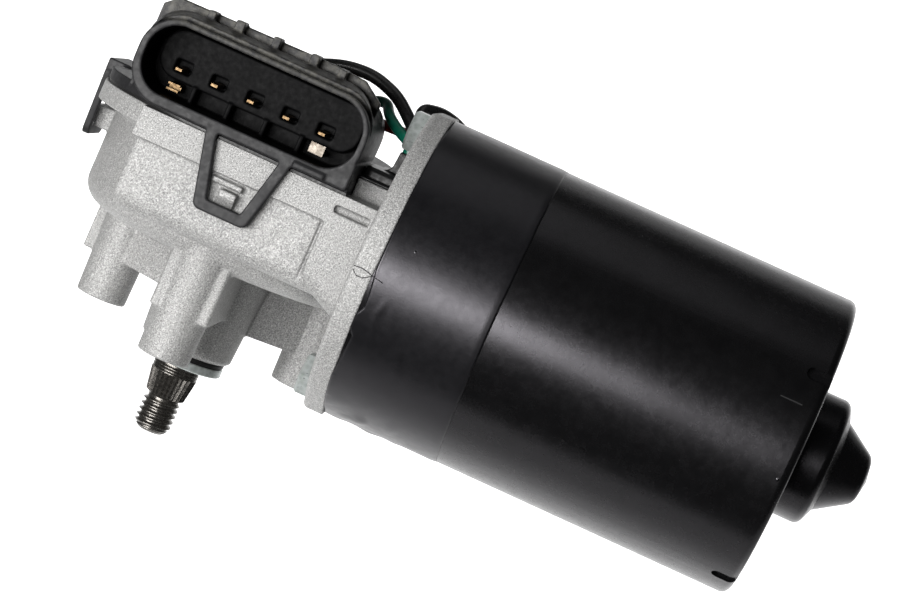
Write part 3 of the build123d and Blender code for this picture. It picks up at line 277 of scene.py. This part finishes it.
# --- thin shrunk sleeve
def sleeve_material():
    m = Mat("seal_sleeve", rough=0.40, spec=0.52)
    m.color(m.ramp(m.noise(0.22, 3.0), [(0.3, (0.0045, 0.0045, 0.0052)), (0.75, (0.0075, 0.0075, 0.0085))]))
    m.roughness(m.value(m.noise(0.7, 4.0, 0.6), 0.3, 0.7, 0.29, 0.36))
    m.b.inputs["Specular Tint"].default_value = (0.96, 0.93, 1.0, 1.0)
    m.bump(m.noise(0.07, 1.0, 0.4), 0.25, 0.25)
    m.bump(m.noise(2.6, 2.0, 0.5), 0.012, 0.5)
    specks = m.voronoi(0.14)
    m.bump(m.value(specks, 0.0, 0.040, 1.0, 0.0), 0.10, 0.8)
    return m.m


# --- black glass-filled nylon mouldings
def cover_material():
    m = Mat("cover_nylon", rough=0.50, spec=0.36)
    cloud = m.noise(0.35, 4.0, 0.65)
    c = m.ramp(cloud, [(0.30, (0.011, 0.011, 0.012)), (0.60, (0.020, 0.020, 0.0215)), (0.80, (0.034, 0.034, 0.036))])
    scuff = m.noise(1.6, 5.0, 0.75)
    c = m.mix(m.value(scuff, 0.60, 0.74, 0.0, 0.35), c, (0.075, 0.075, 0.078), "MIX")
    x, y, z = xyz(m)
    # painted shade: inside the connector cavity the colour is darkened almost to black and the specular lowered,
    # standing in for the shade in the recess
    painted_cavity_shade = m.box_mask(((-24.2, 21.2), (-47.4, -31.0), (49.1, 63.6)), 0.25)
    c = m.mix(m.math("MULTIPLY", painted_cavity_shade, 0.90), c, (0.0020, 0.0020, 0.0022), "MIX")
    # painted sheen: a patchy olive-grey lightening along the top of the shroud stands in for light glancing off its
    # top faces
    painted_top_sheen = m.math("MULTIPLY", m.value(z, 62.6, 64.6), m.value(m.noise(0.8, 4.0, 0.7), 0.38, 0.62))
    c = m.mix(m.math("MULTIPLY", painted_top_sheen, 0.75), c, (0.110, 0.106, 0.090), "MIX")
    m.color(c)
    m.roughness(m.value(m.noise(0.9, 3.0), 0.3, 0.7, 0.44, 0.60))
    m.link(m.value(painted_cavity_shade, 0.0, 1.0, 0.34, 0.06), m.b.inputs["Specular IOR Level"])
    m.bump(m.noise(5.0, 2.0, 0.55), 0.018, 0.7)
    m.bump(m.noise(0.30, 2.0, 0.5), 0.10, 0.20)
    return m.m


def jacket_material(name, dark, light, spec=0.5, rough=0.27):
    m = Mat(name, rough=rough, spec=spec, coat=0.25, coat_rough=0.18)
    m.color(m.ramp(m.noise(0.35, 3.0), [(0.3, dark), (0.7, light)]))
    m.roughness(m.value(m.noise(1.3, 3.0), 0.3, 0.7, rough - 0.03, rough + 0.10))
    m.bump(m.noise(0.55, 2.0), 0.05, 0.35)
    m.bump(m.noise(5.0, 2.0), 0.005, 0.5)
    return m.m


def rubber_material(name="grommet_rubber", base=(0.0045, 0.0045, 0.0048)):
    m = Mat(name, rough=0.42, spec=0.32)
    m.color(m.ramp(m.noise(0.6, 4.0), [(0.3, base), (0.75, tuple(v * 1.9 for v in base))]))
    m.roughness(m.value(m.noise(1.4, 3.0), 0.3, 0.7, 0.30, 0.52))
    m.bump(m.noise(3.2, 3.0), 0.02, 0.6)
    return m.m


def steel_material(name, dark, light, rough=(0.24, 0.42), grain=2.2, metal=1.0, bump=0.012, stretch=None):
    m = Mat(name, rough=sum(rough) / 2, metal=metal)
    g = m.noise(grain, 4.0, 0.62, stretch=stretch)
    c = m.ramp(g, [(0.30, dark), (0.68, light)])
    blot = m.noise(0.28, 3.0)
    c = m.mix(m.value(blot, 0.50, 0.75, 0.0, 0.35), c, tuple(v * 0.62 for v in dark), "MIX")
    m.color(c)
    m.roughness(m.value(m.noise(grain * 0.8, 3.0), 0.3, 0.7, rough[0], rough[1]))
    m.bump(g, bump, 0.6)
    return m.m


# --- turned part about the vertical shaft axis: fine feed marks
def turned_material(name, dark, light, rough=(0.28, 0.44), pitch=2.4):
    m = Mat(name, rough=sum(rough) / 2, metal=0.85)
    rings = m.wave(pitch, "Z", 1.2)
    g = m.noise(1.8, 4.0, 0.6)
    c = m.mix(m.value(g, 0.3, 0.7, 0.0, 1.0), dark, light, "MIX")
    c = m.mix(m.value(rings, 0.1, 0.9, 0.0, 0.22), c, tuple(v * 1.5 for v in light), "MIX")
    m.color(c)
    m.roughness(m.value(m.noise(2.8, 3.0), 0.3, 0.7, rough[0], rough[1]))
    m.bump(rings, 0.008, 0.5)
    m.bump(g, 0.016, 0.5)
    return m.m


# --- wire bundles: strands by waves
def winding_material(name, dark, light, per_mm=1.5, axis="DIAGONAL"):
    m = Mat(name, rough=0.3, metal=0.85, coat=0.5, coat_rough=0.2)
    w = m.wave(per_mm, axis, 2.2)
    m.color(m.ramp(w, [(0.1, dark), (0.8, light)]))
    m.roughness(m.value(m.noise(1.6, 2.0), 0.3, 0.7, 0.22, 0.42))
    m.bump(w, 0.12, 0.8)
    return m.m


def matte_material(name, dark, light, scale=1.2, rough=(0.45, 0.65), bump=0.02, spec=0.4):
    m = Mat(name, rough=sum(rough) / 2, spec=spec)
    n = m.noise(scale, 4.0, 0.62)
    m.color(m.ramp(n, [(0.3, dark), (0.7, light)]))
    m.roughness(m.value(m.noise(scale * 2, 3.0), 0.3, 0.7, rough[0], rough[1]))
    m.bump(n, bump, 0.6)
    return m.m


def laminations_material():
    m = Mat("core_laminations", rough=0.42, metal=0.8)
    w = m.wave(0.32, "X", 0.15)
    c = m.ramp(w, [(0.12, (0.035, 0.035, 0.038)), (0.5, (0.17, 0.17, 0.18))])
    m.color(m.mix(m.value(m.noise(0.5, 3.0), 0.45, 0.75, 0.0, 0.4), c, (0.10, 0.075, 0.055), "MIX"))
    m.roughness(m.value(m.noise(1.4, 3.0), 0.3, 0.7, 0.32, 0.55))
    m.bump(w, 0.05, 0.7)
    return m.m


def zinc_material():
    m = Mat("zinc_plate", rough=0.36, metal=0.55)
    v = m.voronoi(0.9)
    c = m.ramp(v, [(0.0, (0.36, 0.40, 0.385)), (0.7, (0.56, 0.60, 0.59))])
    c = m.mix(m.value(m.noise(0.9, 4.0), 0.50, 0.74, 0.0, 0.45), c, (0.36, 0.42, 0.36), "MIX")
    m.color(c)
    m.roughness(m.value(m.noise(2.0, 3.0), 0.3, 0.7, 0.26, 0.42))
    m.bump(m.noise(2.6, 3.0), 0.02, 0.6)
    return m.m


SLOTS = {
    "cast_body": cast_material(),
    "can_paint": can_material(),
    "seal_sleeve": sleeve_material(),
    "cover_plastic": cover_material(),
    "gasket_rubber": rubber_material("gasket_rubber", (0.012, 0.012, 0.012)),
    "terminal_brass": steel_material("terminal_brass", (0.060, 0.038, 0.018), (0.19, 0.13, 0.072), (0.32, 0.50), 1.6),
    "terminal_tin": steel_material("terminal_tin", (0.050, 0.040, 0.030), (0.20, 0.18, 0.155), (0.34, 0.50), 0.9),
    "dark_steel": turned_material("dark_steel", (0.045, 0.043, 0.040), (0.20, 0.19, 0.175), (0.20, 0.33)),
    "seal_rubber": rubber_material("seal_rubber", (0.008, 0.008, 0.008)),
    "zinc_steel": zinc_material(),
    "spring_steel": steel_material("spring_steel", (0.16, 0.16, 0.165), (0.36, 0.36, 0.37), (0.22, 0.36), 2.0),
    "plain_steel": steel_material("plain_steel", (0.22, 0.22, 0.215), (0.44, 0.44, 0.43), (0.28, 0.44), 2.0),
    "ground_steel": steel_material("ground_steel", (0.34, 0.34, 0.335), (0.56, 0.56, 0.55), (0.16, 0.28), 2.4, stretch=(3.0, 0.6, 0.6)),
    "lead_black_jacket": jacket_material("lead_black_pvc", (0.006, 0.006, 0.006), (0.013, 0.013, 0.013)),
    "lead_green_jacket": jacket_material("lead_green_pvc", (0.004, 0.150, 0.095), (0.012, 0.29, 0.185), 0.4, 0.34),
    "lead_red_jacket": jacket_material("lead_red_pvc", (0.150, 0.010, 0.007), (0.30, 0.022, 0.016), 0.4, 0.34),
    "grommet_rubber": rubber_material(),
    "core_laminations": laminations_material(),
    "winding_copper": winding_material("winding_copper", (0.18, 0.05, 0.015), (0.66, 0.27, 0.10)),
    "commutator_copper": steel_material("commutator_copper", (0.46, 0.20, 0.10), (0.78, 0.42, 0.26), (0.22, 0.4), 2.0, stretch=(0.4, 2.0, 2.0)),
    "phenolic": matte_material("phenolic", (0.055, 0.026, 0.013), (0.13, 0.065, 0.032), 1.4),
    "ferrite": matte_material("ferrite", (0.028, 0.028, 0.031), (0.062, 0.062, 0.066), 1.8, (0.5, 0.7), 0.03),
    "carbon": matte_material("carbon", (0.014, 0.014, 0.014), (0.05, 0.046, 0.042), 2.4, (0.42, 0.62)),
    "capacitor_coat": matte_material("capacitor_coat", (0.20, 0.075, 0.015), (0.33, 0.15, 0.04), 0.8, (0.2, 0.34), 0.02, 0.5),
    "sintered_bronze": steel_material("sintered_bronze", (0.20, 0.115, 0.042), (0.46, 0.31, 0.14), (0.36, 0.52), 3.4, bump=0.03),
    "white_nylon": matte_material("white_nylon", (0.58, 0.55, 0.46), (0.74, 0.72, 0.64), 0.9, (0.34, 0.5), 0.015, 0.5),
}

slot_of = {s["node"]: s["material_slot"] for s in frame["record"]["subparts"]}
for name, ob in NODES.items():
    ob.data.materials.clear()
    ob.data.materials.append(SLOTS[slot_of[name]])


# ---------------------------------------------------------------------------
# softened copies of the castings and mouldings
# ---------------------------------------------------------------------------
def softened(node, name, voxel, smooth, faces=None):
    """A new piece from the node's shape, remeshed so that every edge gets a small cast radius."""
    me = NODES[node].data.copy()
    ob = bpy.data.objects.new(name, me)
    scene.collection.objects.link(ob)
    md = ob.modifiers.new("remesh", "REMESH")
    md.mode = "VOXEL"
    md.voxel_size = voxel * MM
    md.adaptivity = 0.0
    if smooth:
        sm = ob.modifiers.new("smooth", "SMOOTH")
        sm.factor = 0.5
        sm.iterations = smooth
    if faces:
        dc = ob.modifiers.new("decimate", "DECIMATE")
        dc.ratio = faces
    dg = bpy.context.evaluated_depsgraph_get()
    done = bpy.data.meshes.new_from_object(ob.evaluated_get(dg))
    ob.modifiers.clear()
    ob.data = done
    done.name = name
    bpy.data.meshes.remove(me)
    done.materials.clear()
    done.materials.append(SLOTS[slot_of[node]])
    for p in done.polygons:
        p.use_smooth = True
    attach(ob, ROOT)
    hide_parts(node)
    return ob


def make_grommet():
    """The grommet with the thin skirt that lies over its seat."""
    bm = bmesh.new()
    bm.from_mesh(NODES["lead_grommet"].data)
    for (x0, y0, z0), (x1, y1, z1) in (((22.95, -38.35, 50.02), (30.7, -22.55, 50.55)), ((22.45, -38.0, 47.6), (22.95, -22.8, 50.5))):
        got = bmesh.ops.create_cube(bm, size=1.0)["verts"]
        for v in got:
            v.co = Vector((x0 + (x1 - x0) * (v.co.x + 0.5), y0 + (y1 - y0) * (v.co.y + 0.5), z0 + (z1 - z0) * (v.co.z + 0.5))) * MM
    me = bpy.data.meshes.new("grommet_with_skirt")
    bm.to_mesh(me)
    bm.free()
    ob = bpy.data.objects.new("grommet_with_skirt", me)
    scene.collection.objects.link(ob)
    md = ob.modifiers.new("remesh", "REMESH")
    md.mode = "VOXEL"
    md.voxel_size = 0.16 * MM
    sm = ob.modifiers.new("smooth", "SMOOTH")
    sm.iterations = 3
    done = bpy.data.meshes.new_from_object(ob.evaluated_get(bpy.context.evaluated_depsgraph_get()))
    ob.modifiers.clear()
    ob.data = done
    done.materials.clear()
    done.materials.append(SLOTS["grommet_rubber"])
    for q in done.polygons:
        q.use_smooth = True
    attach(ob, ROOT)
    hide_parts("lead_grommet")


make_grommet()


def make_brush_springs():
    """Copies of the brush springs, carried by the motor body in place of the original spring parts."""
    for node, joint, deg in (("spring_common", "common_brush_slide", 90.0), ("spring_low_speed", "low_brush_slide", -90.0),
                             ("spring_high_speed", "high_brush_slide", 30.0)):
        ob = bpy.data.objects.new("coil_" + node, NODES[node].data.copy())
        scene.collection.objects.link(ob)
        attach(ob, ROOT)
        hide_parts(node)
        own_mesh(ob)


make_brush_springs()
softened("gear_housing", "housing_casting", 0.30, 1)
softened("gear_cover", "cover_moulding", 0.24, 1)


# ---------------------------------------------------------------------------
# shrunk sleeve over the joint: uneven edges, a soft ridge and a loose strand
# ---------------------------------------------------------------------------
SLEEVE_LEFT = ((10.1, 34.97), (12.8, 34.94), (15.0, 34.91), (18.3, 35.46), (21.7, 35.76), (24.1, 35.96), (24.4, 35.58),
               (25.5, 35.05), (28.35, 35.14), (30.0, 35.95), (32.5, 35.89), (37.7, 35.23), (45.5, 35.16))


def wobble(*v):
    return noise.noise(Vector(v))


def sleeve_left(a):
    """Left edge at angle a, measured upward from the front of the motor."""
    z = AXIS_Z + 31.3 * math.sin(a)
    plain = 35.15 + 0.30 * wobble(3.0 * math.cos(a), 3.0 * math.sin(a), 2.0)
    if math.cos(a) <= 0.3 or not SLEEVE_LEFT[0][0] <= z <= SLEEVE_LEFT[-1][0]:
        return plain
    for (z0, x0), (z1, x1) in zip(SLEEVE_LEFT, SLEEVE_LEFT[1:]):
        if z0 <= z <= z1:
            return x0 + (x1 - x0) * (z - z0) / (z1 - z0)
    return plain


def make_sleeve():
    n_a, n_x = 640, 56
    bm = bmesh.new()
    rows = []
    for i in range(n_a):
        a = 2 * math.pi * i / n_a
        ca, sa = math.cos(a), math.sin(a)
        z = AXIS_Z + 31.3 * sa
        x0 = sleeve_left(a)
        x1 = 59.30 + 0.07 * wobble(6.0 * ca, 6.0 * sa, 9.0)
        low = max(0.0, min(1.0, (14.0 - z) / 6.0))
        ring = []
        for k in range(n_x + 1):
            t = k / n_x
            x = x0 + (x1 - x0) * t
            h = 0.150 + 0.030 * wobble(0.10 * x, 4.0 * ca, 4.0 * sa) + 0.004 * wobble(0.55 * x, 16.0 * ca, 16.0 * sa)
            if ca > 0:
                near = max(0.0, min(1.0, (z - 15.5) / 3.0)) * max(0.0, min(1.0, (33.5 - z) / 3.0))
                h += 0.085 * near * math.exp(-((x - 39.0 - 0.35 * math.sin(z * 0.6)) / 0.55) ** 2)
                h -= 0.030 * near * math.exp(-((x - 40.3) / 0.6) ** 2)
            h += 0.9 * low * low * max(0.0, wobble(0.20 * x + 3.1, 5.0 * ca, 4.0)) * math.exp(-((x - 44.0) / 7.0) ** 2)
            edge = min(1.0, (x - x0) / 0.35, (x1 - x) / 1.1)
            if x > 45.0:
                h = 0.02 + (h - 0.02) * max(0.0, min(1.0, edge))
            else:
                h = 0.055 + (h - 0.055) * math.sqrt(max(0.0, min(1.0, 0.15 + 0.85 * edge)))
            r = 31.10 + min(0.288 + 0.45 * low, h + (0.09 if x < 35.4 else 0.0))
            ring.append((x, AXIS_Y - r * ca, AXIS_Z + r * sa))
        for x in (x1 - 0.05, x0 + 0.05):
            ring.append((x, AXIS_Y - 31.02 * ca, AXIS_Z + 31.02 * sa))
        rows.append([bm.verts.new(Vector(v) * MM) for v in ring])
    m = len(rows[0])
    for i in range(n_a):
        a, b = rows[i], rows[(i + 1) % n_a]
        for k in range(m):
            bm.faces.new((a[k], a[(k + 1) % m], b[(k + 1) % m], b[k]))
    for pts, r in ((((31.13, 36.54), (32.8, 36.68), (34.16, 36.43), (35.31, 36.08), (36.39, 35.9), (37.47, 35.7)), 0.075),
                   (((31.3, 35.87), (31.78, 35.35), (32.45, 34.96), (33.54, 35.03), (34.34, 35.47), (35.06, 36.09)), 0.065)):
        prev = None
        for k, (x, z) in enumerate(pts):
            c = Vector((x, -64.29, z))
            nx, nz = pts[min(k + 1, len(pts) - 1)], pts[max(k - 1, 0)]
            d = Vector((nx[0] - nz[0], 0.0, nx[1] - nz[1])).normalized()
            side = d.cross(Vector((0, 1, 0)))
            now = [bm.verts.new((c + (side * math.cos(q) + Vector((0, 1, 0)) * math.sin(q)) * r) * MM)
                   for q in (2 * math.pi * j / 8 for j in range(8))]
            if prev:
                for j in range(8):
                    bm.faces.new((prev[j], prev[(j + 1) % 8], now[(j + 1) % 8], now[j]))
            else:
                bm.faces.new(now)
            prev = now
        bm.faces.new(list(reversed(prev)))
    bmesh.ops.recalc_face_normals(bm, faces=bm.faces)
    me = bpy.data.meshes.new("shrunk_sleeve")
    bm.to_mesh(me)
    bm.free()
    for q in me.polygons:
        q.use_smooth = True
    me.materials.append(SLOTS["seal_sleeve"])
    ob = bpy.data.objects.new("shrunk_sleeve", me)
    scene.collection.objects.link(ob)
    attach(ob, ROOT)
    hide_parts("joint_seal_band")


make_sleeve()


# ---------------------------------------------------------------------------
# floor, backdrop and light
# ---------------------------------------------------------------------------
def pale_material():
    m = Mat("pale_floor", rough=0.8, spec=0.2)
    c = m.ramp(m.noise(0.01, 2.0), [(0.3, (0.80, 0.80, 0.80)), (0.7, (0.82, 0.82, 0.82))])
    m.color(c)
    m.link(c, m.b.inputs["Emission Color"])
    x, y, z = xyz(m)
    aside = m.value(m.math("ABSOLUTE", m.math("SUBTRACT", x, 60.0)), 560.0, 900.0, 1.0, 0.22)
    above = m.value(z, 480.0, 800.0, 1.0, 0.22)
    glow = m.math("MULTIPLY", m.math("MULTIPLY", aside, above), m.value(y, NEAR_Y, FAR_Y, NEAR_GLOW, FLOOR_GLOW))
    m.link(glow, m.b.inputs["Emission Strength"])
    return m.m


FLOOR_GLOW = 1.22          # glow of the far part, which is the picture's background
NEAR_GLOW = 0.18           # glow of the part below the motor
NEAR_Y, FAR_Y = -60.0, 330.0
FLOOR_Z = -0.62


def make_stage():
    """Pale floor far below the part, swept up into a plain backdrop."""
    bm = bmesh.new()
    prof = [(FLOOR_Y0, FLOOR_Z)]
    y0, r = 0.75, 0.55
    for k in range(17):
        a = math.radians(90.0 * k / 16)
        prof.append((y0 + r * math.sin(a), FLOOR_Z + r * (1 - math.cos(a))))
    prof.append((y0 + r, FLOOR_Z + 2.2))
    rows = []
    for y, zz in prof:
        rows.append([bm.verts.new((x, y, zz)) for x in (-2.2, -0.8, 0.8, 2.2)])
    for a, b in zip(rows, rows[1:]):
        for k in range(3):
            bm.faces.new((a[k], a[k + 1], b[k + 1], b[k]))
    me = bpy.data.meshes.new("floor")
    bm.to_mesh(me)
    bm.free()
    for p in me.polygons:
        p.use_smooth = True
    ob = bpy.data.objects.new("floor", me)
    scene.collection.objects.link(ob)
    me.materials.append(pale_material())


FLOOR_Y0 = -0.30
make_stage()


def area(name, loc, aim, size, power, color=(1, 1, 1), size_y=None):
    d = bpy.data.lights.new(name, "AREA")
    d.energy = power
    d.color = color
    d.shape = "RECTANGLE" if size_y else "SQUARE"
    d.size = size
    if size_y:
        d.size_y = size_y
    ob = bpy.data.objects.new(name, d)
    scene.collection.objects.link(ob)
    v = Vector(aim) - Vector(loc)
    ob.matrix_world = Matrix.Translation(Vector(loc)) @ v.to_track_quat("-Z", "Y").to_matrix().to_4x4()
    return ob


CENTRE = (0.048, -0.033, 0.035)
area("key_light", (-0.38, -1.03, 0.01), CENTRE, 0.84, 16.5, (1.0, 0.99, 0.985), 0.30)
area("top_light", (-0.25, -0.10, 1.20), CENTRE, 0.8, 0.8)

world = bpy.data.worlds.new("world")
scene.world = world
world.use_nodes = True
bg = world.node_tree.nodes.get("Background") or world.node_tree.nodes.new("ShaderNodeBackground")
bg.inputs[0].default_value = (0.95, 0.97, 1.0, 1)
bg.inputs[1].default_value = 0.03
